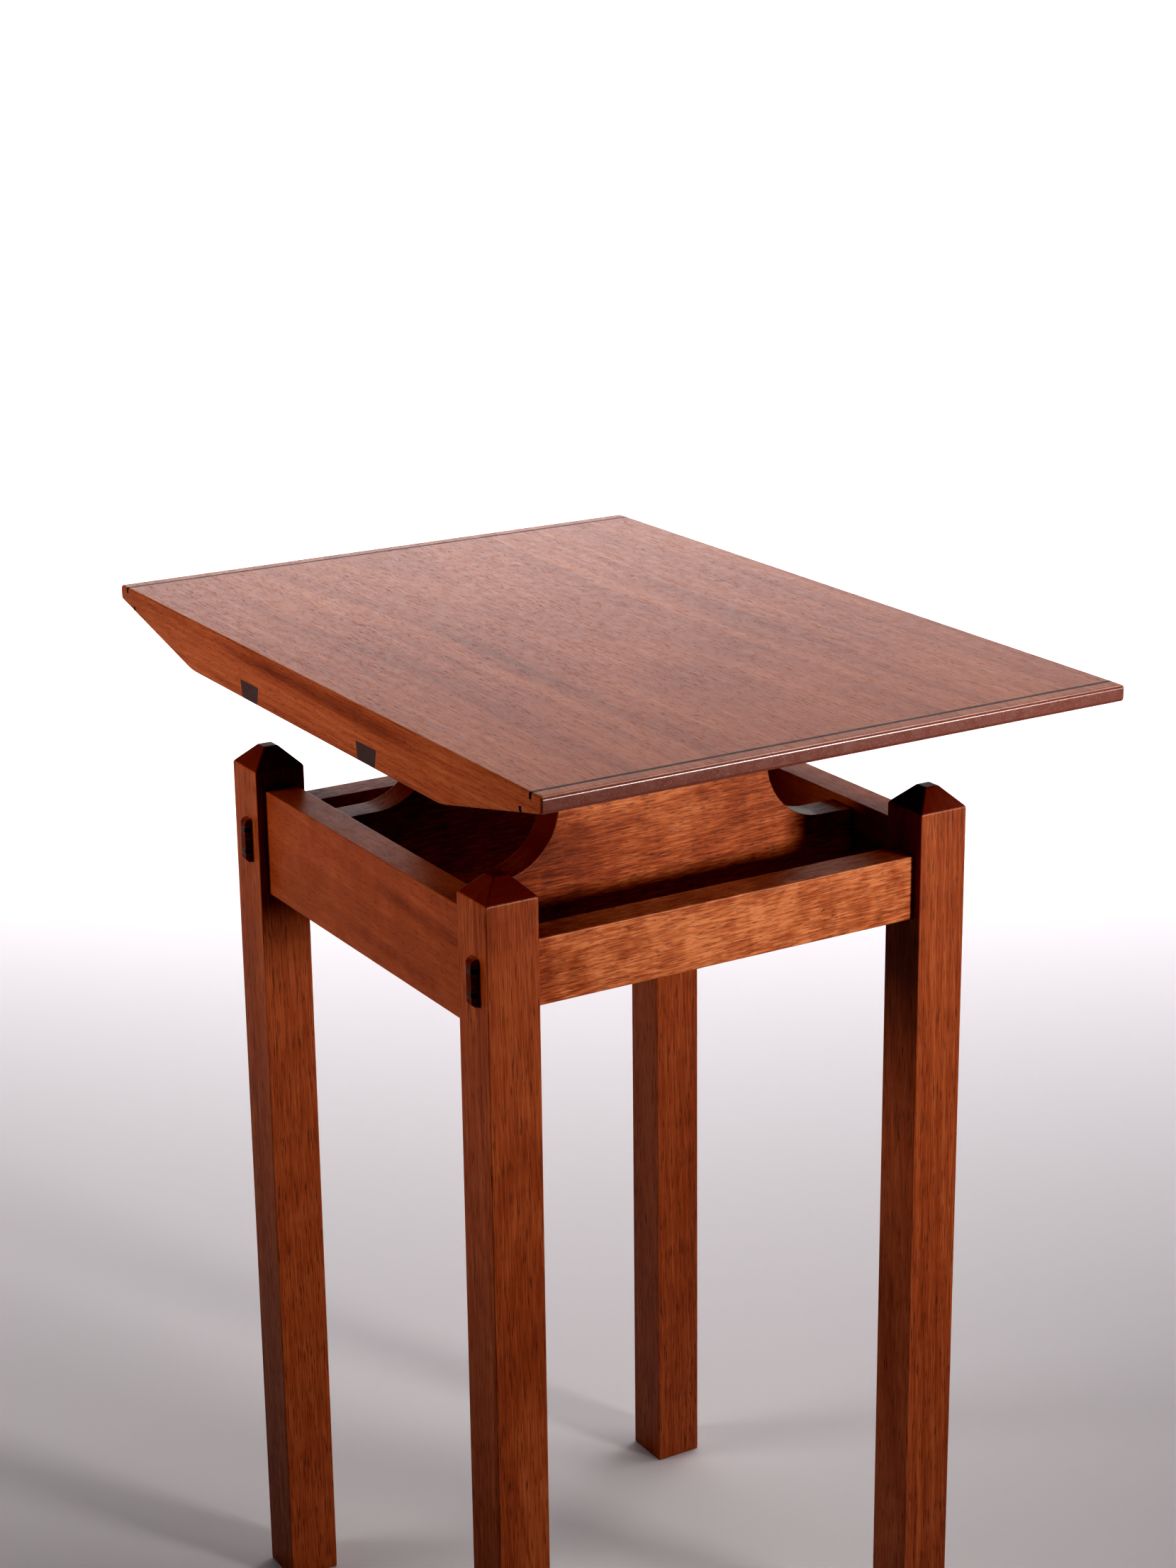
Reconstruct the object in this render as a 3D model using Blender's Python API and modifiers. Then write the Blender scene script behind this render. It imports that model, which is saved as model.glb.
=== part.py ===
"""Photo album stand: a bevelled top carried by two arched boards in a four-legged frame.

The front of the stand faces -Y, its left side faces -X, and the floor is at Z = 0.
"""
import math

import bmesh
import bpy
from mathutils import Matrix, Vector

# Driving dimensions, in metres
OVERALL_HEIGHT = 0.762
GAP = 0.0003                    # clearance between neighbouring pieces
EASE = 0.001                    # softened edge of the rails, boards and legs
EASE_SEGMENTS = 3
ARC_STEP = math.radians(6)      # longest step along a rounded outline

TOP_WIDTH = 0.431               # along X
TOP_LENGTH = 0.613              # along Y, with the grain
TOP_THICKNESS = 0.0375
TOP_END_THICKNESS = 0.0105
TOP_FLAT_LENGTH = 0.368         # level part of the underside
TOP_END_RADIUS = 0.0024
TOP_BREAK_RADIUS = 0.060        # where the level underside turns into the bevel
TOP_EASE = 0.0015               # softened edge of the top

LEG = 0.038
FRAME_WIDTH = 0.373             # over the legs, along X
FRAME_DEPTH = 0.371             # over the legs, along Y
SHOULDER_DROP = 0.109           # from the upper face of the top down to the leg shoulders
PYRAMID_RISE = 0.0137
PYRAMID_FLAT = 0.0108

RAIL_THICKNESS = 0.025
SIDE_RAIL_DROP = 0.014          # below the leg shoulders
SIDE_RAIL_HEIGHT = 0.0775
END_RAIL_DROP = 0.0304
END_RAIL_HEIGHT = 0.0453

TENON_THICKNESS = 0.0083
TENON_SHOULDER = 0.0066         # above and below a through tenon
TENON_SHIFT = -0.004            # the through tenons are set towards the front
TENON_PROUD = 0.0053
TENON_CHAMFER = 0.0024
TENON_SIDE_CHAMFER = 0.0008
TENON_EASE = 0.0005
BLIND_TENON_LENGTH = 0.009
BLIND_TENON_SHOULDER = 0.012

WEDGE_LENGTH = 0.030
WEDGE_THICK_END = 0.0030
WEDGE_THIN_END = 0.0010
WEDGE_OFFSET = 0.0080           # above and below the middle of the tenon

BOARD_OFFSET = 0.0865           # boards and battens, from the middle of the stand
BOARD_NECK = 0.1654             # width of a board where it meets the top
BOARD_CUT_RADIUS = 0.046
BOARD_CUT_DROP = 0.019          # foot of the cut, below the leg shoulders
BOARD_LIFT = 0.005              # lower edge of a board above the lower edge of the side rails
BOARD_TENON_LENGTH = 0.012
BOARD_TENON_HEIGHT = 0.044
BOARD_TENON_THICKNESS = 0.009

BATTEN_DEPTH = 0.0127
BATTEN_WIDE = 0.0274
BATTEN_NARROW = 0.0227

STRING_WIDTH = 0.0025
STRING_DEPTH = 0.0040
STRING_TOP_OFFSET = 0.2940      # from the middle of the top
STRING_UNDER_OFFSET = 0.2827

DOWEL_RADIUS = 0.004
DOWEL_IN_BATTEN = 0.010
DOWEL_IN_BOARD = 0.018
DOWEL_SPACING = 0.060
DOWEL_SIDES = 24

# Heights and places that follow from them
TOP_UNDERSIDE = OVERALL_HEIGHT - TOP_THICKNESS
SHOULDER_HEIGHT = OVERALL_HEIGHT - SHOULDER_DROP
SIDE_RAIL_TOP = SHOULDER_HEIGHT - SIDE_RAIL_DROP
END_RAIL_TOP = SHOULDER_HEIGHT - END_RAIL_DROP
LEG_X = (FRAME_WIDTH - LEG) / 2
LEG_Y = (FRAME_DEPTH - LEG) / 2
SIDE_RAIL_INNER_X = LEG_X - RAIL_THICKNESS / 2
BOARD_BOTTOM = SIDE_RAIL_TOP - SIDE_RAIL_HEIGHT + BOARD_LIFT
TENON_HEIGHT = END_RAIL_HEIGHT - 2 * TENON_SHOULDER
TENON_MIDDLE = END_RAIL_TOP - END_RAIL_HEIGHT / 2
TENON_END_X = FRAME_WIDTH / 2 + TENON_PROUD
OVERRUN = 0.005                 # how far a cutter, or a blank to be trimmed, runs past a surface
WEDGE_BLANK_WIDTH = TENON_THICKNESS + 2 * OVERRUN

SIDES = {"left": -1, "right": 1}
ENDS = {"front": -1, "back": 1}
IN_XZ_PLANE = (math.pi / 2, 0, 0)
IN_YZ_PLANE = (math.pi / 2, 0, math.pi / 2)


def clear_scene():
    for scene_object in list(bpy.data.objects):
        bpy.data.objects.remove(scene_object, do_unlink=True)


def new_collection(name):
    collection = bpy.data.collections.new(name)
    bpy.context.scene.collection.children.link(collection)
    return collection


def wood(name, colour, roughness):
    material = bpy.data.materials.new(name)
    material.use_nodes = True
    shader = material.node_tree.nodes["Principled BSDF"]
    shader.inputs["Base Color"].default_value = (*colour, 1)
    shader.inputs["Roughness"].default_value = roughness
    shader.inputs["Metallic"].default_value = 0
    return material


def add_piece(name, data, material, location, rotation=(0, 0, 0)):
    """Put a visible piece in the stand's collection."""
    piece = bpy.data.objects.new(name, data)
    piece.location = location
    piece.rotation_euler = rotation
    data.materials.append(material)
    PARTS.objects.link(piece)
    return piece


def add_tool(name, data, location, rotation=(0, 0, 0)):
    """Put a helper solid, which cuts or joins another piece, in the cutters' collection."""
    tool = bpy.data.objects.new(name, data)
    tool.location = location
    tool.rotation_euler = rotation
    tool.hide_render = True
    tool.display_type = "WIRE"
    CUTTERS.objects.link(tool)
    return tool


def combine(target, tool, operation="DIFFERENCE"):
    modifier = target.modifiers.new(tool.name, "BOOLEAN")
    modifier.operation = operation
    modifier.solver = "EXACT"
    modifier.object = tool


def soften(piece, width=EASE, segments=EASE_SEGMENTS, sharper_than=25):
    """Round the edges whose faces turn by more than a number of degrees."""
    modifier = piece.modifiers.new("eased_edges", "BEVEL")
    modifier.width = width
    modifier.segments = segments
    modifier.limit_method = "ANGLE"
    modifier.angle_limit = math.radians(sharper_than)


def mesh_from(name, shape):
    mesh = bpy.data.meshes.new(name)
    shape.to_mesh(mesh)
    shape.free()
    return mesh


def box_shape(size):
    shape = bmesh.new()
    bmesh.ops.create_cube(shape, size=1)
    bmesh.ops.scale(shape, vec=size, verts=shape.verts)
    return shape


def roomy(size):
    """The size of a mortise that holds a tenon of the given size."""
    return tuple(side + 2 * GAP for side in size)


def box_mesh(name, size):
    return mesh_from(name, box_shape(size))


def rail_mesh(name, size, axis):
    """A box whose four edges along one axis are eased, and whose ends stay crisp."""
    shape = box_shape(size)
    direction = Vector.Fill(3, 0)
    direction[axis] = 1
    long_edges = [edge for edge in shape.edges
                  if abs((edge.verts[1].co - edge.verts[0].co).normalized().dot(direction)) > 0.9]
    bmesh.ops.bevel(shape, geom=long_edges, offset=EASE, segments=EASE_SEGMENTS, profile=0.5, affect="EDGES")
    return mesh_from(name, shape)


def raised_box_mesh(name, size, rise, end_scale):
    """A box whose +Z face is drawn out by rise and shrunk there by end_scale."""
    shape = box_shape(size)
    end = max(shape.faces, key=lambda face: face.calc_center_median().z)
    grown = bmesh.ops.extrude_face_region(shape, geom=[end])["geom"]
    tip = [item for item in grown if isinstance(item, bmesh.types.BMVert)]
    bmesh.ops.delete(shape, geom=[end], context="FACES_ONLY")
    bmesh.ops.translate(shape, vec=(0, 0, rise), verts=tip)
    bmesh.ops.scale(shape, vec=(*end_scale, 1), verts=tip)
    return mesh_from(name, shape)


def cylinder_mesh(name, radius, length):
    shape = bmesh.new()
    bmesh.ops.create_cone(shape, cap_ends=True, segments=DOWEL_SIDES, radius1=radius, radius2=radius,
                          depth=length)
    return mesh_from(name, shape)


def rounded_outline(corners):
    """Points of a closed outline given as corners (u, v, radius), each turned into an arc."""
    points = []
    for index, (u, v, radius) in enumerate(corners):
        corner = Vector((u, v))
        if radius == 0:
            points.append(corner)
            continue
        back = (Vector(corners[index - 1][:2]) - corner).normalized()
        ahead = (Vector(corners[(index + 1) % len(corners)][:2]) - corner).normalized()
        half_angle = back.angle(ahead) / 2
        reach = radius / math.tan(half_angle)
        centre = corner + (back + ahead).normalized() * radius / math.sin(half_angle)
        spoke = corner + back * reach - centre
        sweep = -spoke.angle_signed(corner + ahead * reach - centre)
        steps = math.ceil(abs(sweep) / ARC_STEP)
        points += [centre + Matrix.Rotation(sweep * step / steps, 2) @ spoke for step in range(steps + 1)]
    return points


def outline_mesh(name, points, thickness):
    """A flat outline in the local XY plane, given an even thickness about that plane."""
    curve = bpy.data.curves.new(name, "CURVE")
    curve.dimensions = "2D"
    curve.fill_mode = "BOTH"
    curve.extrude = thickness / 2
    spline = curve.splines.new("POLY")
    spline.points.add(len(points) - 1)
    for spline_point, (u, v) in zip(spline.points, points):
        spline_point.co = (u, v, 0, 1)
    spline.use_cyclic_u = True
    holder = bpy.data.objects.new(name, curve)
    bpy.context.scene.collection.objects.link(holder)
    evaluated = holder.evaluated_get(bpy.context.evaluated_depsgraph_get())
    mesh = bpy.data.meshes.new_from_object(evaluated)
    bpy.data.objects.remove(holder, do_unlink=True)
    bpy.data.curves.remove(curve)
    shape = bmesh.new()
    shape.from_mesh(mesh)
    bmesh.ops.remove_doubles(shape, verts=shape.verts, dist=1e-6)
    bmesh.ops.dissolve_limit(shape, angle_limit=math.radians(0.5), verts=shape.verts, edges=shape.edges)
    bmesh.ops.recalc_face_normals(shape, faces=shape.faces)
    shape.to_mesh(mesh)
    shape.free()
    mesh.name = name
    return mesh


def dovetail_outline(clearance, overrun):
    """Batten section about its underside, grown by a clearance and run on below by an overrun."""
    slope = (BATTEN_WIDE - BATTEN_NARROW) / 2 / BATTEN_DEPTH
    top = BATTEN_DEPTH + clearance
    half_top = BATTEN_NARROW / 2 + slope * top + clearance
    half_bottom = BATTEN_NARROW / 2 - slope * overrun + clearance
    return [(-half_bottom, -overrun), (half_bottom, -overrun), (half_top, top), (-half_top, top)]


def bevel_angle():
    """Slope of the underside towards the ends of the top."""
    return math.atan2(TOP_THICKNESS - TOP_END_THICKNESS, (TOP_LENGTH - TOP_FLAT_LENGTH) / 2)


def string_places():
    """Name, middle of the outer face, tilt, and way inwards (up or down) of each dark string in the top."""
    for end, direction in ENDS.items():
        top_face = (0, direction * STRING_TOP_OFFSET, OVERALL_HEIGHT)
        yield f"{end}_upper_string", top_face, 0, -1
        rise = (STRING_UNDER_OFFSET - TOP_FLAT_LENGTH / 2) * math.tan(bevel_angle())
        under_face = (0, direction * STRING_UNDER_OFFSET, TOP_UNDERSIDE + rise)
        yield f"{end}_lower_string", under_face, direction * bevel_angle(), 1


def top_mesh(name):
    """The top before it is grooved: level above, and bevelled below towards both ends."""
    half_length = TOP_LENGTH / 2
    half_flat = TOP_FLAT_LENGTH / 2
    end_bottom = TOP_THICKNESS - TOP_END_THICKNESS
    corners = [
        (-half_flat, 0, TOP_BREAK_RADIUS),
        (half_flat, 0, TOP_BREAK_RADIUS),
        (half_length, end_bottom, TOP_END_RADIUS),
        (half_length, TOP_THICKNESS, TOP_END_RADIUS),
        (-half_length, TOP_THICKNESS, TOP_END_RADIUS),
        (-half_length, end_bottom, TOP_END_RADIUS),
    ]
    return outline_mesh(name, rounded_outline(corners), TOP_WIDTH)


def make_top_blank():
    """The whole top as a helper, which trims its inlays flush with its faces and eased edges."""
    blank = add_tool("top_blank", top_mesh("top_blank"), (0, 0, TOP_UNDERSIDE), IN_YZ_PLANE)
    soften(blank, TOP_EASE)
    return blank


def make_top():
    top = add_piece("top_slab", top_mesh("top_slab"), MAHOGANY_TOP, (0, 0, TOP_UNDERSIDE), IN_YZ_PLANE)
    soften(top, TOP_EASE)
    groove = outline_mesh("batten_groove", dovetail_outline(GAP, OVERRUN), TOP_WIDTH + 2 * OVERRUN)
    for end, direction in ENDS.items():
        place = (0, direction * BOARD_OFFSET, TOP_UNDERSIDE)
        combine(top, add_tool(f"{end}_batten_groove", groove, place, IN_YZ_PLANE))
    slot_size = (TOP_WIDTH + 2 * OVERRUN, STRING_WIDTH + 2 * GAP, 2 * (STRING_DEPTH + GAP))
    slot = box_mesh("string_slot", slot_size)
    for name, place, tilt, _ in string_places():
        combine(top, add_tool(f"{name}_slot", slot, place, (tilt, 0, 0)))


def make_strings(top_blank):
    size = (TOP_WIDTH + 2 * OVERRUN, STRING_WIDTH, STRING_DEPTH + OVERRUN)
    for name, place, tilt, inward in string_places():
        sink = Matrix.Rotation(tilt, 3, "X") @ Vector((0, 0, inward * (STRING_DEPTH - OVERRUN) / 2))
        string = add_piece(name, box_mesh(name, size), EBONY, Vector(place) + sink, (tilt, 0, 0))
        combine(string, top_blank, "INTERSECT")


def make_battens(top_blank):
    for end, direction in ENDS.items():
        name = f"{end}_batten"
        mesh = outline_mesh(name, dovetail_outline(0, OVERRUN), TOP_WIDTH + 2 * OVERRUN)
        place = (0, direction * BOARD_OFFSET, TOP_UNDERSIDE)
        batten = add_piece(name, mesh, WENGE, place, IN_YZ_PLANE)
        combine(batten, top_blank, "INTERSECT")
        for tool in dowel_holes(name, direction):
            combine(batten, tool)


def dowel_places(direction):
    for step in (-1, 0, 1):
        middle = TOP_UNDERSIDE + (DOWEL_IN_BATTEN - DOWEL_IN_BOARD) / 2
        yield (step * DOWEL_SPACING, direction * BOARD_OFFSET, middle)


def dowel_holes(name, direction):
    """Cutters for the named piece's share of the dowel holes."""
    length = DOWEL_IN_BATTEN + DOWEL_IN_BOARD + 2 * GAP
    mesh = cylinder_mesh("dowel_hole", DOWEL_RADIUS + GAP, length)
    for number, place in enumerate(dowel_places(direction), start=1):
        yield add_tool(f"{name}_dowel_hole_{number}", mesh, place)


def make_dowels():
    for end, direction in ENDS.items():
        for number, place in enumerate(dowel_places(direction), start=1):
            name = f"{end}_dowel_{number}"
            mesh = cylinder_mesh(name, DOWEL_RADIUS, DOWEL_IN_BATTEN + DOWEL_IN_BOARD)
            mesh.shade_smooth()
            mesh.set_sharp_from_angle(angle=math.radians(40))
            add_piece(name, mesh, BEECH, place)


def board_tenon_size():
    """Half of the length lies inside the board."""
    return (2 * BOARD_TENON_LENGTH, BOARD_TENON_THICKNESS, BOARD_TENON_HEIGHT)


def board_tenon_places():
    """Middle of each stub tenon that joins a board to a side rail, and its side."""
    height = BOARD_BOTTOM + BOARD_TENON_HEIGHT / 2 + TENON_SHOULDER
    for side, direction in SIDES.items():
        yield side, (direction * SIDE_RAIL_INNER_X, height)


def make_boards():
    half_width = SIDE_RAIL_INNER_X - GAP
    half_neck = BOARD_NECK / 2
    top = TOP_UNDERSIDE - GAP
    cut_foot = SHOULDER_HEIGHT - BOARD_CUT_DROP
    right_half = [
        (half_width, BOARD_BOTTOM, 0),
        (half_width, cut_foot, 0),
        (half_neck, cut_foot, BOARD_CUT_RADIUS),
        (half_neck, top, 0),
    ]
    left_half = [(-x, z, radius) for x, z, radius in reversed(right_half)]
    outline = rounded_outline(right_half + left_half)
    for end, direction in ENDS.items():
        name = f"{end}_arched_board"
        mesh = outline_mesh(name, outline, RAIL_THICKNESS)
        y = direction * BOARD_OFFSET
        board = add_piece(name, mesh, MAHOGANY_FRAME, (0, y, 0), IN_XZ_PLANE)
        soften(board)
        tenon = box_mesh("board_tenon", board_tenon_size())
        for side, (x, z) in board_tenon_places():
            combine(board, add_tool(f"{end}_{side}_board_tenon", tenon, (x, y, z)), "UNION")
        for tool in dowel_holes(name, direction):
            combine(board, tool)


def blind_tenon_size():
    """Half of the length lies inside the side rail."""
    return (TENON_THICKNESS, 2 * BLIND_TENON_LENGTH, SIDE_RAIL_HEIGHT - 2 * BLIND_TENON_SHOULDER)


def make_side_rails():
    height_middle = SIDE_RAIL_TOP - SIDE_RAIL_HEIGHT / 2
    length = FRAME_DEPTH - 2 * LEG - 2 * GAP
    tenon = box_mesh("side_rail_tenon", blind_tenon_size())
    mortise = box_mesh("board_mortise", roomy(board_tenon_size()))
    for side, x_direction in SIDES.items():
        name = f"{side}_side_rail"
        x = x_direction * LEG_X
        mesh = rail_mesh(name, (RAIL_THICKNESS, length, SIDE_RAIL_HEIGHT), 1)
        rail = add_piece(name, mesh, MAHOGANY_FRAME, (x, 0, height_middle))
        for end, y_direction in ENDS.items():
            place = (x, y_direction * (FRAME_DEPTH / 2 - LEG), height_middle)
            combine(rail, add_tool(f"{name}_{end}_tenon", tenon, place), "UNION")
            mortise_x, mortise_z = dict(board_tenon_places())[side]
            mortise_place = (mortise_x, y_direction * BOARD_OFFSET, mortise_z)
            combine(rail, add_tool(f"{name}_{end}_mortise", mortise, mortise_place))


def make_through_tenons():
    """Helper solids for the through tenons, by end and side; each has a hipped end with eased edges."""
    body = LEG + TENON_PROUD - TENON_CHAMFER + OVERRUN
    scale_height = 1 - 2 * TENON_CHAMFER / TENON_HEIGHT
    scale_thickness = 1 - 2 * TENON_SIDE_CHAMFER / TENON_THICKNESS
    size = (TENON_HEIGHT, TENON_THICKNESS, body)
    mesh = raised_box_mesh("through_tenon", size, TENON_CHAMFER, (scale_height, scale_thickness))
    tenons = {}
    for end, y_direction in ENDS.items():
        for side, x_direction in SIDES.items():
            middle = x_direction * (TENON_END_X - TENON_CHAMFER - body / 2)
            place = (middle, y_direction * LEG_Y + TENON_SHIFT, TENON_MIDDLE)
            turn = (0, x_direction * math.pi / 2, 0)
            tenons[end, side] = add_tool(f"{end}_{side}_through_tenon", mesh, place, turn)
            soften(tenons[end, side], TENON_EASE, segments=2, sharper_than=12)
    return tenons


def wedge_outline(clearance, overrun):
    """Wedge section: u runs out along the tenon to its end at u = 0, v is its thickness."""
    taper = (WEDGE_THICK_END - WEDGE_THIN_END) / 2 / WEDGE_LENGTH
    thin = WEDGE_THIN_END / 2 - taper * clearance + clearance
    thick = WEDGE_THICK_END / 2 + taper * overrun + clearance
    inner = -WEDGE_LENGTH - clearance
    return [(inner, -thin), (overrun, -thick), (overrun, thick), (inner, thin)]


def wedge_places(end, side):
    """Name, place and turn of the two wedges in one tenon; the thick end is at the tenon's outer end."""
    x = SIDES[side] * TENON_END_X
    y = ENDS[end] * LEG_Y + TENON_SHIFT
    turn = (math.pi / 2, 0, 0 if x > 0 else math.pi)
    for level, offset in (("upper", WEDGE_OFFSET), ("lower", -WEDGE_OFFSET)):
        yield f"{end}_{side}_{level}_wedge", (x, y, TENON_MIDDLE + offset), turn


def make_end_rails(tenons):
    length = FRAME_WIDTH - 2 * LEG - 2 * GAP
    kerf = outline_mesh("wedge_kerf", wedge_outline(GAP, OVERRUN), WEDGE_BLANK_WIDTH)
    for end, y_direction in ENDS.items():
        name = f"{end}_rail"
        mesh = rail_mesh(name, (length, RAIL_THICKNESS, END_RAIL_HEIGHT), 0)
        rail = add_piece(name, mesh, MAHOGANY_FRAME, (0, y_direction * LEG_Y, TENON_MIDDLE))
        for side in SIDES:
            combine(rail, tenons[end, side], "UNION")
            for wedge_name, place, turn in wedge_places(end, side):
                combine(rail, add_tool(f"{wedge_name}_kerf", kerf, place, turn))


def make_wedges(tenons):
    for (end, side), tenon in tenons.items():
        for name, place, turn in wedge_places(end, side):
            mesh = outline_mesh(name, wedge_outline(0, OVERRUN), WEDGE_BLANK_WIDTH)
            wedge = add_piece(name, mesh, WENGE, place, turn)
            combine(wedge, tenon, "INTERSECT")


def make_legs():
    size = (LEG, LEG, SHOULDER_HEIGHT)
    tip_scale = PYRAMID_FLAT / LEG
    through = box_mesh("through_mortise", roomy((LEG + 2 * OVERRUN, TENON_THICKNESS, TENON_HEIGHT)))
    blind = box_mesh("blind_mortise", roomy(blind_tenon_size()))
    for end, y_direction in ENDS.items():
        for side, x_direction in SIDES.items():
            name = f"{end}_{side}_leg"
            x = x_direction * LEG_X
            y = y_direction * LEG_Y
            mesh = raised_box_mesh(name, size, PYRAMID_RISE, (tip_scale, tip_scale))
            leg = add_piece(name, mesh, MAHOGANY_LEG, (x, y, SHOULDER_HEIGHT / 2))
            soften(leg)
            through_place = (x, y + TENON_SHIFT, TENON_MIDDLE)
            combine(leg, add_tool(f"{name}_through_mortise", through, through_place))
            blind_place = (x, y_direction * (FRAME_DEPTH / 2 - LEG), SIDE_RAIL_TOP - SIDE_RAIL_HEIGHT / 2)
            combine(leg, add_tool(f"{name}_blind_mortise", blind, blind_place))


clear_scene()
PARTS = new_collection("photo_album_stand")
CUTTERS = new_collection("cutters")
MAHOGANY_TOP = wood("mahogany_top", (0.36, 0.14, 0.08), 0.30)
MAHOGANY_FRAME = wood("mahogany_frame", (0.33, 0.10, 0.04), 0.35)
MAHOGANY_LEG = wood("mahogany_leg", (0.30, 0.10, 0.045), 0.35)
WENGE = wood("wenge", (0.035, 0.020, 0.016), 0.40)
EBONY = wood("ebony", (0.015, 0.010, 0.010), 0.35)
BEECH = wood("beech", (0.62, 0.42, 0.25), 0.60)

TOP_BLANK = make_top_blank()
THROUGH_TENONS = make_through_tenons()
make_top()
make_strings(TOP_BLANK)
make_battens(TOP_BLANK)
make_boards()
make_dowels()
make_side_rails()
make_end_rails(THROUGH_TENONS)
make_wedges(THROUGH_TENONS)
make_legs()
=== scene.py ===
"""Looks of the photo album stand: its timber and finish, a plain studio, and the camera."""
import math

import bmesh
import bpy
from mathutils import Matrix, Vector

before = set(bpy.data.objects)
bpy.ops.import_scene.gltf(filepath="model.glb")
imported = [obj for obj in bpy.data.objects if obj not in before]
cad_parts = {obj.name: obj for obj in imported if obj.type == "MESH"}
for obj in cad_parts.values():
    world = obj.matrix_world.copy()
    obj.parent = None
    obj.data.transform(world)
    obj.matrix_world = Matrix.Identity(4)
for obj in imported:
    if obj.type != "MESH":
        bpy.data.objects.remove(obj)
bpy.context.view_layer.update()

# Camera: place in metres, turns in degrees, lens and sensor in millimetres
CAMERA_PLACE = (-1.0193, -1.7010, 1.2776)
CAMERA_HEADING = -30.91
CAMERA_DIP = 17.51
CAMERA_ROLL = -0.68
CAMERA_LENS = 68.47
SENSOR_WIDTH = 36

# Studio floor, in metres: flat out to its radius, then swept up into a wall
FLOOR_RADIUS = 4.4
SWEEP_RADIUS = 1.6
WALL_HEIGHT = 2.8
SWEEP_STEP = 10          # degrees
FLOOR_SIDES = 96
FLOOR_WELD = 0.0001
FLOOR_COLOUR = (0.52, 0.505, 0.52)
FLOOR_ROUGHNESS = 0.9

# Studio lamps. A place is (angle, distance, height): the angle goes round the stand from its front (-Y)
# towards its right (+X), in degrees, and the distance is from its middle, in metres.
# Each lamp: place, (width, height) of its panel, place it points at, spread in degrees, watts, colour
BEHIND = 149
LAMPS = {
    "floor_behind": ((142, 2.3, 2.2), (4.4, 3.0), (142, 2.5, 0.0), 80, 58, (1.0, 0.985, 1.0)),
    "backdrop": ((BEHIND, 3.9, 2.7), (4.4, 1.4), (BEHIND, 4.7, 0.0), 120, 210, (1.0, 1.0, 1.0)),
    "sheen": ((151, 4.3, 1.65), (4.0, 0.8), (0, 0, 0.76), 70, 2.0, (1.0, 0.97, 0.98)),
    "low_sheen": ((151, 4.3, 1.15), (4.0, 0.4), (0, 0, 0.76), 70, 0.8, (1.0, 0.97, 0.98)),
    "key": ((28, 2.4, 0.88), (0.42, 0.42), (0, 0, 0.70), 50, 4.1, (1.0, 0.96, 0.92)),
    "overhead": ((95, 1.15, 2.35), (1.6, 0.70), (0, 0, 0.76), 90, 7.2, (1.0, 0.96, 0.94)),
    "left": ((-115, 1.5, 0.9), (0.6, 0.5), (-90, 0.2, 0.75), 50, 1.45, (1.0, 0.96, 0.93)),
    "left_high": ((-115, 1.5, 1.95), (0.6, 0.6), (-90, 0.2, 0.65), 90, 1.9, (1.0, 0.96, 0.93)),
}
WITHOUT_HIGHLIGHT = ("left", "left_high")    # lamps that glossy faces do not mirror
WORLD_COLOUR = (0.9, 0.9, 0.95)
WORLD_STRENGTH = 0.007
BLACK_LEVEL = 0.007      # light up to this much comes out black

# The colours of each timber, linear. Its tones run from the deepest streak to the brightest figure.
MAHOGANY = {
    "tones": ((0.00, (0.060, 0.009, 0.004)), (0.28, (0.150, 0.034, 0.011)),
              (0.50, (0.245, 0.062, 0.021)), (0.72, (0.350, 0.110, 0.041)), (1.00, (0.520, 0.205, 0.090))),
    "end_grain": (0.070, 0.007, 0.004),
    "pore": (0.045, 0.010, 0.005),
    # edge: pale edges, partly worn wood and partly a painted highlight along the arris
    "edge": (0.42, 0.16, 0.085),
}
WENGE = {
    "tones": ((0.00, (0.018, 0.010, 0.009)), (0.35, (0.045, 0.024, 0.021)),
              (0.60, (0.075, 0.040, 0.035)), (1.00, (0.120, 0.070, 0.060))),
    "end_grain": (0.058, 0.032, 0.030),
    "pore": (0.010, 0.006, 0.005),
    "edge": (0.060, 0.036, 0.030),
}
EBONY = {
    "tones": ((0.00, (0.014, 0.007, 0.005)), (0.40, (0.030, 0.015, 0.010)),
              (0.70, (0.045, 0.023, 0.016)), (1.00, (0.065, 0.034, 0.024))),
    "end_grain": (0.008, 0.006, 0.006),
    "pore": (0.006, 0.004, 0.003),
    "edge": (0.040, 0.024, 0.018),
}
BEECH = {
    "tones": ((0.00, (0.330, 0.190, 0.095)), (0.40, (0.480, 0.300, 0.165)),
              (0.70, (0.580, 0.390, 0.230)), (1.00, (0.680, 0.480, 0.300))),
    "end_grain": (0.360, 0.220, 0.120),
    "pore": (0.220, 0.120, 0.060),
    "edge": (0.600, 0.420, 0.260),
}

TOP_END_COLOUR = (0.150, 0.048, 0.037)       # the end grain of the top is paler and greyer than that of the other pieces

# How fast each layer of the figure changes, per metre: twice across the grain, then along it
WANDER_SCALE = (6, 6, 2.2)
RING_SCALE = 230                             # outwards from the heart of the log
BAND_SCALE = (62, 2.4)                       # outwards from the heart, then along the grain
CLOUD_SCALE = (30, 30, 42)
BAR_SCALE = (9, 9, 75)
FIBRE_SCALE = (1500, 1500, 42)
RAG_SCALE = (60, 60, 7)
PATCH_SCALE = (60, 60, 40)
RIPPLE_SCALE = (120, 120, 90)
PORES_ACROSS = 1300

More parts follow.
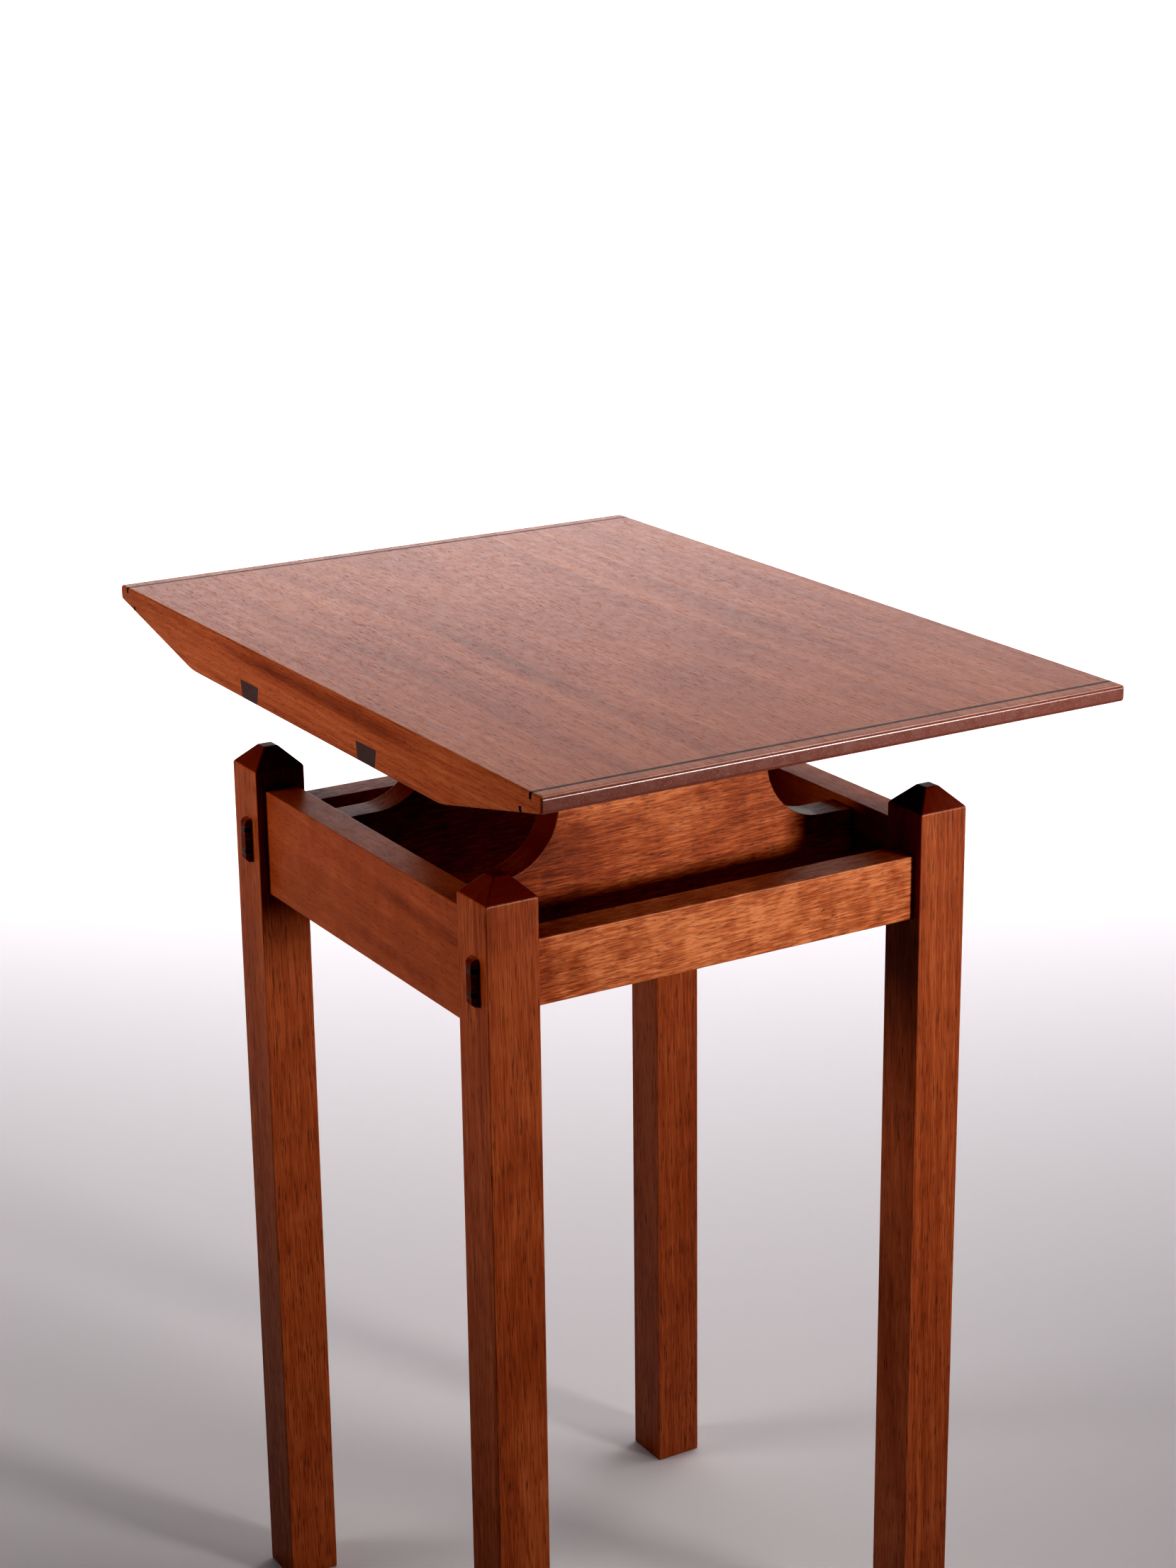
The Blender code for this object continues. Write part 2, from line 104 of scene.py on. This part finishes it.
# How the layers come together
LOG_STEP = (0.71, 1.37, 2.11)                # from one piece's place in the log to the next, in metres
NOISE_RANGE = (0.3, 0.7)                     # what nearly all noise lies in
WANDER_WIDTH = 0.026                         # how far the growth rings stray, in metres
CLOUD_DISTORTION = 0.7
MARK_DISTORTION = 0.2
FIBRE_WEIGHT = 0.07
MID_TONE = 0.5
RAG_WIDTH = 0.012                            # how ragged the sides of a streak are, in metres
STREAK_FADE = 0.45                           # part of a streak's half length after which it fades
PORE_RANGE = (0.58, 0.70)                    # noise at which a pore starts, and is whole
END_TURN = (0.25, 0.80)                      # how far a face looks along the grain, as a cosine
END_SHARE = 0.90
EDGE_RADIUS = 0.0012
EDGE_SAMPLES = 4
EDGE_TURN = (0.995, 0.93)                    # how far a face turns near its edge, as a cosine
PATCH_RANGE = (0.35, 0.65)
PATCH_WEAR_AND_HIGHLIGHT = (0.15, 0.70)                    # least and most paleness of an edge, from worn wood and painted highlight

# The lacquer
LACQUER_IOR = 1.45
UPWARD_TURN = (0.30, 0.90)                   # how far a face looks up, as a cosine
RUBBED_GLOSS = 0.20
RIPPLE_ROUGHNESS = 0.14
PORE_ROUGHNESS = 0.12
PORE_RELIEF = -0.6
FIBRE_RELIEF = 0.25
RIPPLE_RELIEF = 0.5
BUMP_STRENGTH = 0.13
BUMP_DISTANCE = 0.0002

# Shading of the CAD's own meshes
WELD_DISTANCE = 0.00001
FLAT_ANGLE = 0.5                             # degrees
CREASE_ANGLE = 40                            # degrees
FLAT_FACE_WEIGHT = 100

# Streaks that stand out on one piece, and patches of painted shade and painted light: axis across the face,
# its place there, how far it bows, where it starts and ends along the grain, its width (all in metres), and
# how dark it is, or below 0 how bright
TOP_STREAKS = (
    ("X", -0.082, 0.003, -0.230, 0.105, 0.0065, 0.07),
    ("X", -0.134, 0.005, -0.300, 0.100, 0.0055, 0.09),
    ("X", -0.166, 0.012, -0.060, 0.310, 0.0060, 0.10),
    ("X", -0.008, 0.003, -0.120, 0.310, 0.0060, 0.05),
    ("X", 0.024, -0.004, -0.280, 0.140, 0.0110, 0.04),
    ("X", 0.107, -0.004, -0.300, 0.160, 0.0100, 0.05),
    ("X", 0.150, 0.002, -0.260, 0.120, 0.0080, 0.06),
    ("Y", -0.754, 0.000, -0.190, 0.150, 0.0110, 0.26),
)
SIDE_RAIL_STREAKS = (
    ("Y", -0.617, 0.004, -0.170, 0.020, 0.010, 0.15),
    ("Y", -0.578, 0.002, -0.120, 0.080, 0.008, 0.08),
)
# The board: a narrow streak near its top and a wide darker patch over its left, then painted shade at its
# right end and a painted sheen over its upper middle
BOARD_STREAKS_AND_PAINTED_LIGHT = (
    ("X", -0.697, 0.002, -0.120, 0.150, 0.008, 0.16),
    ("X", -0.660, 0.000, -0.260, -0.020, 0.130, 0.34),
    # painted shade: where the front right leg's shadow falls on the board's right end
    ("X", -0.645, 0.000, 0.030, 0.240, 0.050, 0.12),
    # painted sheen: a bright patch over the board's upper middle
    ("X", -0.680, 0.000, -0.110, 0.070, 0.040, -0.26),
)
# Painted light on the front and back rails: brighter over the right, with painted shade over the left, as
# the key lamp falls from the right
END_RAIL_PAINTED_LIGHT_AND_SHADE = (
    ("X", -0.600, 0.000, -0.120, 0.260, 0.060, -0.18),
    ("X", -0.600, 0.000, -0.260, -0.080, 0.060, 0.18),
)


class Graph:
    """Shorthand for building a material's nodes."""

    def __init__(self, material):
        material.use_nodes = True
        self.tree = material.node_tree
        self.shader = self.tree.nodes["Principled BSDF"]

    def node(self, kind, inputs=None, **settings):
        node = self.tree.nodes.new("ShaderNode" + kind)
        for name, value in settings.items():
            setattr(node, name, value)
        for name, value in (inputs or {}).items():
            self.feed(node.inputs[name], value)
        return node

    def feed(self, socket, value):
        if isinstance(value, bpy.types.NodeSocket):
            self.tree.links.new(value, socket)
        else:
            socket.default_value = value

    def math(self, operation, first, second=0.0, third=0.0):
        return self.node("Math", {0: first, 1: second, 2: third}, operation=operation).outputs[0]

    def vector_math(self, operation, first, second):
        node = self.node("VectorMath", {0: first, 1: second}, operation=operation)
        return node.outputs["Value" if operation == "DOT_PRODUCT" else "Vector"]

    def scaled(self, vector, scale):
        return self.vector_math("MULTIPLY", vector, scale)

    def noise(self, vector, detail=2.0, distortion=0.0):
        inputs = {"Vector": vector, "Scale": 1.0, "Detail": detail, "Distortion": distortion}
        return self.node("TexNoise", inputs).outputs["Fac"]

    def figure(self, vector, detail=2.0, distortion=0.0):
        """Noise that is spread over the whole range from 0 to 1."""
        return self.fade(self.noise(vector, detail, distortion), *NOISE_RANGE)

    def figure_along(self, value, scale):
        """The same, varying with a single value."""
        inputs = {"W": value, "Scale": scale, "Detail": 1.0}
        noise = self.node("TexNoise", inputs, noise_dimensions="1D").outputs["Fac"]
        return self.fade(noise, *NOISE_RANGE)

    def fade(self, value, low, high, bottom=0.0, top=1.0):
        inputs = {"Value": value, "From Min": low, "From Max": high, "To Min": bottom, "To Max": top}
        return self.node("MapRange", inputs, interpolation_type="SMOOTHSTEP").outputs["Result"]

    def ramp(self, value, stops):
        node = self.node("ValToRGB", {"Fac": value})
        elements = node.color_ramp.elements
        while len(elements) < len(stops):
            elements.new(0.5)
        for element, (position, colour) in zip(elements, stops):
            element.position = position
            element.color = (*colour, 1)
        return node.outputs["Color"]

    def mix(self, factor, first, second):
        """A colour socket mixed with a plain colour."""
        node = self.node("Mix", data_type="RGBA")
        colours = [socket for socket in node.inputs if socket.type == "RGBA"]
        self.feed(node.inputs["Factor"], factor)
        self.feed(colours[0], first)
        self.feed(colours[1], (*second, 1))
        return next(socket for socket in node.outputs if socket.type == "RGBA")


def grain_space(graph, axis, tilt):
    """Coordinates of the wood itself: X and Y across the grain, Z along it, in metres."""
    place = graph.node("TexCoord").outputs["Object"]
    turn = {"X": (0, -math.pi / 2, 0), "Y": (math.pi / 2, 0, 0), "Z": (0, 0, 0)}[axis]
    laid = graph.node("Mapping", {"Vector": place, "Rotation": turn}, vector_type="POINT")
    run_out = (math.radians(tilt[0]), math.radians(tilt[1]), 0)
    return graph.node("Mapping", {"Vector": laid.outputs[0], "Rotation": run_out}).outputs[0]


def growth(graph, wood, parts, pith, start):
    """Narrow rings and broad bands round the heart of the log, which wander slowly along the trunk."""
    from_heart = graph.node("CombineXYZ", {
        "X": graph.math("ADD", parts["X"], pith[0]),
        "Y": graph.math("ADD", parts["Y"], pith[1]),
    })
    radius = graph.node("VectorMath", {0: from_heart.outputs[0]}, operation="LENGTH").outputs["Value"]
    wander = graph.noise(graph.scaled(wood, WANDER_SCALE))
    radius = graph.math("MULTIPLY_ADD", wander, WANDER_WIDTH, radius)
    radius = graph.math("ADD", radius, start)
    band_place = graph.node("CombineXYZ", {
        "X": graph.math("MULTIPLY", radius, BAND_SCALE[0]),
        "Z": graph.math("MULTIPLY", parts["Z"], BAND_SCALE[1]),
    })
    return graph.figure_along(radius, RING_SCALE), graph.figure(band_place.outputs[0])


def face_figure(graph, wood, clouds, bars, strokes, lines):
    """Soft clouds, bars across the grain, flame strokes along it and fine lines, each with its weight."""
    layers = []
    if clouds:
        cloud = graph.figure(graph.scaled(wood, CLOUD_SCALE), detail=3, distortion=CLOUD_DISTORTION)
        layers.append((cloud, clouds))
    if bars:
        layers.append((graph.figure(graph.scaled(wood, BAR_SCALE)), bars))
    for weight, across, along in (strokes, lines):
        mark = graph.figure(graph.scaled(wood, (across, across, along)), distortion=MARK_DISTORTION)
        layers.append((mark, weight))
    return layers


def streak(graph, across, along, bow, start, end, width):
    """How much of a point lies in one streak, which fades at both of its ends."""
    reach = (end - start) / 2
    place = graph.math("DIVIDE", graph.math("SUBTRACT", along, (start + end) / 2), reach)
    bent = graph.math("MULTIPLY_ADD", graph.math("MULTIPLY", place, place), bow, across)
    body = graph.fade(graph.math("ABSOLUTE", bent), width, 0.0)
    return graph.math("MULTIPLY", body, graph.fade(graph.math("ABSOLUTE", place), 1.0, STREAK_FADE))


def with_streaks_and_painted_light(graph, tone, wood, parts, streaks_and_painted_light):
    """The tone with the marks that stand out, ragged at their sides: figure, and patches of painted shade
    and painted light.
    """
    if not streaks_and_painted_light:
        return tone
    ragged = graph.noise(graph.scaled(wood, RAG_SCALE), detail=3)
    rag = graph.math("MULTIPLY_ADD", ragged, RAG_WIDTH, -RAG_WIDTH / 2)
    for face, middle, bow, start, end, width, depth in streaks_and_painted_light:
        across = graph.math("ADD", graph.math("SUBTRACT", parts[face], middle), rag)
        body = streak(graph, across, parts["Z"], bow, start, end, width)
        tone = graph.math("MULTIPLY_ADD", body, -depth, tone)
    return tone


def edge_wear_and_highlight(graph, wood, normal):
    """Where edges are, and how pale they are there, which is uneven: partly worn wood, partly a painted
    highlight along the arris.
    """
    rounded = graph.node("Bevel", {"Radius": EDGE_RADIUS}, samples=EDGE_SAMPLES).outputs["Normal"]
    near_edge = graph.fade(graph.vector_math("DOT_PRODUCT", rounded, normal), *EDGE_TURN)
    patchy = graph.fade(graph.noise(graph.scaled(wood, PATCH_SCALE)), *PATCH_RANGE, *PATCH_WEAR_AND_HIGHLIGHT)
    return near_edge, graph.math("MULTIPLY", near_edge, patchy)


def lacquer(graph, wood, normal, pore, fibre, near_edge, end_part, roughness, gloss):
    """Roughness, gloss and relief of the finish, which ripples slightly and sinks over the pores."""
    ripple = graph.noise(graph.scaled(wood, RIPPLE_SCALE), detail=1)
    satin = graph.math("MULTIPLY_ADD", graph.math("SUBTRACT", ripple, 0.5), RIPPLE_ROUGHNESS, roughness[0])
    satin = graph.math("MULTIPLY_ADD", pore, PORE_ROUGHNESS, satin)
    satin = graph.math("MULTIPLY_ADD", end_part, roughness[1] - roughness[0], satin)

    upward = graph.vector_math("DOT_PRODUCT", normal, (0, 0, 1))
    shine = graph.fade(upward, *UPWARD_TURN, gloss[0], gloss[1])
    toward_end = graph.math("SUBTRACT", gloss[2], shine)
    shine = graph.math("MULTIPLY_ADD", end_part, toward_end, shine)
    shine = graph.math("MULTIPLY_ADD", near_edge, RUBBED_GLOSS, shine)

    height = graph.math("MULTIPLY_ADD", pore, PORE_RELIEF, graph.math("MULTIPLY", fibre, FIBRE_RELIEF))
    height = graph.math("MULTIPLY_ADD", ripple, RIPPLE_RELIEF, height)
    bump = graph.node("Bump", {"Height": height, "Strength": BUMP_STRENGTH, "Distance": BUMP_DISTANCE})

    graph.feed(graph.shader.inputs["Roughness"], satin)
    graph.feed(graph.shader.inputs["Specular IOR Level"], shine)
    graph.feed(graph.shader.inputs["Normal"], bump.outputs[0])
    graph.shader.inputs["IOR"].default_value = LACQUER_IOR


def timber(name, species, axis, offset, tilt=(0, 0), pith=(0.12, 0.05), bands=0.20, rings=0.14, clouds=0.05,
           bars=0.0, strokes=(0.08, 600, 60), lines=(0.10, 900, 20), lift=0.0, pores=0.40, pores_along=150,
           streaks_and_painted_light=(), end_colour=None, roughness=(0.38, 0.38), gloss=(0.24, 0.24, 0.24)):
    """Finished wood, cut from a log whose heart lies pith metres away across the grain.

    The grain follows an axis, off by a tilt in degrees. Bands, rings, clouds, bars and pores say how
    strongly each shows. Strokes and lines each give a strength, then marks per metre across the grain
    and along it. A lift makes the whole tone paler. Roughness is for long grain and end grain. Gloss
    is for upright faces, upward faces and end grain.
    """
    material = bpy.data.materials.new(name)
    graph = Graph(material)
    here = grain_space(graph, axis, tilt)
    wood = graph.vector_math("ADD", here, offset)
    parts = graph.node("SeparateXYZ", {"Vector": here}).outputs
    normal = graph.node("NewGeometry").outputs["Normal"]

    ring, band = growth(graph, wood, parts, pith, offset[0])
    fibre = graph.figure(graph.scaled(wood, FIBRE_SCALE))
    layers = [(ring, rings), (band, bands)]
    layers += face_figure(graph, wood, clouds, bars, strokes, lines)
    layers.append((fibre, FIBRE_WEIGHT))
    tone = MID_TONE + lift
    for layer, weight in layers:
        tone = graph.math("MULTIPLY_ADD", graph.math("SUBTRACT", layer, 0.5), weight, tone)
    tone = with_streaks_and_painted_light(graph, tone, wood, parts, streaks_and_painted_light)
    colour = graph.ramp(tone, species["tones"])

    # Open pores: short dashes along the grain, dots on its end
    pore_noise = graph.noise(graph.scaled(wood, (PORES_ACROSS, PORES_ACROSS, pores_along)), detail=1)
    pore = graph.fade(pore_noise, *PORE_RANGE)
    colour = graph.mix(graph.math("MULTIPLY", pore, pores), colour, species["pore"])

    # End grain drinks more finish and goes dark
    grain = {"X": (1, 0, 0), "Y": (0, 1, 0), "Z": (0, 0, 1)}[axis]
    endwise = graph.math("ABSOLUTE", graph.vector_math("DOT_PRODUCT", normal, grain))
    end_part = graph.fade(endwise, *END_TURN)
    end_share = graph.math("MULTIPLY", end_part, END_SHARE)
    colour = graph.mix(end_share, colour, end_colour or species["end_grain"])

    # Edges paler: partly worn wood, partly a painted highlight along the arris
    near_edge, wear_and_highlight = edge_wear_and_highlight(graph, wood, normal)
    colour = graph.mix(wear_and_highlight, colour, species["edge"])
    graph.feed(graph.shader.inputs["Base Color"], colour)
    lacquer(graph, wood, normal, pore, fibre, near_edge, end_part, roughness, gloss)
    return material


def top_timber(name, offset):
    return timber(name, MAHOGANY, "Y", offset, pith=(0.02, 0.45), bands=0.11, rings=0.10, clouds=0.0,
                  strokes=(0.07, 900, 60), lines=(0.16, 1100, 25), lift=0.08, pores=0.36,
                  streaks_and_painted_light=TOP_STREAKS, end_colour=TOP_END_COLOUR, roughness=(0.33, 0.27),
                  gloss=(0.15, 0.31, 0.62))


def side_rail_timber(name, offset):
    return timber(name, MAHOGANY, "Y", offset, tilt=(-2, 0), pith=(0.30, 0.9), bands=0.07, rings=0.04,
                  clouds=0.08, strokes=(0.07, 700, 50), lines=(0.06, 900, 20), pores=0.25,
                  streaks_and_painted_light=SIDE_RAIL_STREAKS, gloss=(0.24, 0.13, 0.24))


def board_timber(name, offset):
    return timber(name, MAHOGANY, "X", offset, tilt=(0, 1), pith=(0.60, 0.3), bands=0.12, rings=0.08,
                  clouds=0.12, bars=0.05, strokes=(0.26, 850, 90), lines=(0.22, 1300, 40), lift=0.10,
                  pores=0.60, streaks_and_painted_light=BOARD_STREAKS_AND_PAINTED_LIGHT)


def end_rail_timber(name, offset):
    return timber(name, MAHOGANY, "X", offset, tilt=(0, 2), pith=(0.60, 0.3), bands=0.14, rings=0.08,
                  clouds=0.22, bars=0.08, strokes=(0.30, 750, 80), lines=(0.22, 1200, 36), lift=0.17,
                  pores=0.55, streaks_and_painted_light=END_RAIL_PAINTED_LIGHT_AND_SHADE, gloss=(0.24, 0.13, 0.24))


def leg_timber(name, offset):
    return timber(name, MAHOGANY, "Z", offset, tilt=(1, 1), pith=(0.15, 0.12), bands=0.10, rings=0.10,
                  strokes=(0.06, 500, 30), lines=(0.16, 1100, 16), lift=0.03, pores=0.60, pores_along=60,
                  gloss=(0.24, 0.10, 0.10))


def dowel_timber(name, offset):
    return timber(name, BEECH, "Z", offset, roughness=(0.6, 0.6))


def string_timber(name, offset):
    return timber(name, EBONY, "X", offset, gloss=(0.15, 0.15, 0.15))


def dark_timber(name, offset):
    return timber(name, WENGE, "X", offset, bands=0.16, lines=(0.20, 900, 20), pores=0.5)


# What a node's name contains, and its timber. The first that fits counts.
TIMBERS = {
    "top_slab": top_timber,
    "side_rail": side_rail_timber,
    "rail": end_rail_timber,
    "arched_board": board_timber,
    "leg": leg_timber,
    "dowel": dowel_timber,
    "string": string_timber,
    "batten": dark_timber,
    "wedge": dark_timber,
}


def timber_for(name, index):
    """The timber of one node, cut from its own part of the log."""
    offset = tuple(step * index for step in LOG_STEP)
    make = next(make for part, make in TIMBERS.items() if part in name)
    return make(name, offset)


def eased_shading():
    """Geometry nodes that shade a piece smooth, apart from its sharp edges."""
    tree = bpy.data.node_groups.new("eased_shading", "GeometryNodeTree")
    for direction in ("INPUT", "OUTPUT"):
        tree.interface.new_socket("Geometry", in_out=direction, socket_type="NodeSocketGeometry")
    source = tree.nodes.new("NodeGroupInput")
    target = tree.nodes.new("NodeGroupOutput")
    forget = tree.nodes.new("GeometryNodeRemoveAttribute")
    forget.inputs["Name"].default_value = "custom_normal"
    smooth = tree.nodes.new("GeometryNodeSetShadeSmooth")
    crease = tree.nodes.new("GeometryNodeSetShadeSmooth")
    crease.domain = "EDGE"
    crease.inputs["Shade Smooth"].default_value = False
    fold = tree.nodes.new("GeometryNodeInputMeshEdgeAngle")
    sharp = tree.nodes.new("FunctionNodeCompare")
    sharp.operation = "GREATER_THAN"
    sharp.inputs["B"].default_value = math.radians(CREASE_ANGLE)
    for before, after in ((source, forget), (forget, smooth), (smooth, crease), (crease, target)):
        tree.links.new(before.outputs[0], after.inputs[0])
    tree.links.new(fold.outputs["Unsigned Angle"], sharp.inputs["A"])
    tree.links.new(sharp.outputs[0], crease.inputs["Selection"])
    return tree


def refine(node, shading):
    """Whole flat faces, and rounded edges that catch the light evenly."""
    weld = node.modifiers.new("weld", "WELD")
    weld.merge_threshold = WELD_DISTANCE
    flat = node.modifiers.new("flat_faces", "DECIMATE")
    flat.decimate_type = "DISSOLVE"
    flat.angle_limit = math.radians(FLAT_ANGLE)
    flat.delimit = set()
    node.modifiers.new("eased_shading", "NODES").node_group = shading
    weighted = node.modifiers.new("face_weighted", "WEIGHTED_NORMAL")
    weighted.mode = "FACE_AREA"
    weighted.weight = FLAT_FACE_WEIGHT
    weighted.keep_sharp = True


def floor_profile():
    """The floor from its middle out to the top of the wall, as (distance, height)."""
    points = [(0, 0)]
    for degrees in range(0, 91, SWEEP_STEP):
        turn = math.radians(degrees)
        points.append((FLOOR_RADIUS + SWEEP_RADIUS * math.sin(turn), SWEEP_RADIUS * (1 - math.cos(turn))))
    points.append((FLOOR_RADIUS + SWEEP_RADIUS, WALL_HEIGHT))
    return points


def floor_mesh():
    shape = bmesh.new()
    points = [shape.verts.new((distance, 0, height)) for distance, height in floor_profile()]
    edges = [shape.edges.new(pair) for pair in zip(points, points[1:])]
    bmesh.ops.spin(shape, geom=points + edges, axis=(0, 0, 1), angle=math.tau, steps=FLOOR_SIDES)
    bmesh.ops.remove_doubles(shape, verts=shape.verts, dist=FLOOR_WELD)
    bmesh.ops.recalc_face_normals(shape, faces=shape.faces)
    mesh = bpy.data.meshes.new("floor")
    shape.to_mesh(mesh)
    shape.free()
    mesh.shade_smooth()
    return mesh


def floor_material():
    material = bpy.data.materials.new("pale_floor")
    material.use_nodes = True
    shader = material.node_tree.nodes["Principled BSDF"]
    shader.inputs["Base Color"].default_value = (*FLOOR_COLOUR, 1)
    shader.inputs["Roughness"].default_value = FLOOR_ROUGHNESS
    return material


def add_floor():
    """A pale floor that sweeps up into a wall all round, well away from the stand."""
    floor = bpy.data.objects.new("floor", floor_mesh())
    floor.data.materials.append(floor_material())
    bpy.context.scene.collection.objects.link(floor)


def from_stand(angle, distance, height):
    """A point in the studio, given by its angle round the stand."""
    turn = math.radians(angle)
    return Vector((distance * math.sin(turn), -distance * math.cos(turn), height))


def add_lamp(name, place, size, target, spread, power, colour):
    light = bpy.data.lights.new(name, "AREA")
    light.shape = "RECTANGLE"
    light.size, light.size_y = size
    light.spread = math.radians(spread)
    light.energy = power
    light.color = colour
    lamp = bpy.data.objects.new(name, light)
    lamp.location = from_stand(*place)
    lamp.rotation_euler = (from_stand(*target) - lamp.location).to_track_quat("-Z", "Y").to_euler()
    lamp.visible_camera = False
    lamp.visible_glossy = name not in WITHOUT_HIGHLIGHT
    bpy.context.scene.collection.objects.link(lamp)


def add_world():
    """A trace of light from all round."""
    world = bpy.data.worlds.new("studio")
    world.use_nodes = True
    background = world.node_tree.nodes["Background"]
    background.inputs["Color"].default_value = (*WORLD_COLOUR, 1)
    background.inputs["Strength"].default_value = WORLD_STRENGTH
    bpy.context.scene.world = world


def add_camera():
    camera = bpy.data.objects.new("camera", bpy.data.cameras.new("camera"))
    camera.data.lens = CAMERA_LENS
    camera.data.sensor_width = SENSOR_WIDTH
    heading = Matrix.Rotation(math.radians(CAMERA_HEADING), 4, "Z")
    dip = Matrix.Rotation(math.radians(90 - CAMERA_DIP), 4, "X")
    roll = Matrix.Rotation(math.radians(CAMERA_ROLL), 4, "Z")
    camera.matrix_world = Matrix.Translation(CAMERA_PLACE) @ heading @ dip @ roll
    bpy.context.scene.collection.objects.link(camera)
    bpy.context.scene.camera = camera


def set_film():
    """The strong contrast and deep blacks of a studio picture."""
    settings = bpy.context.scene.view_settings
    settings.view_transform = "Standard"
    settings.look = "High Contrast"
    settings.use_curve_mapping = True
    settings.curve_mapping.black_level = (BLACK_LEVEL,) * 3
    settings.curve_mapping.update()


shading = eased_shading()
for index, (name, node) in enumerate(sorted(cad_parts.items()), start=1):
    refine(node, shading)
    node.material_slots[0].material = timber_for(name, index)

add_floor()
for name, settings in LAMPS.items():
    add_lamp(name, *settings)
add_world()
add_camera()
set_film()
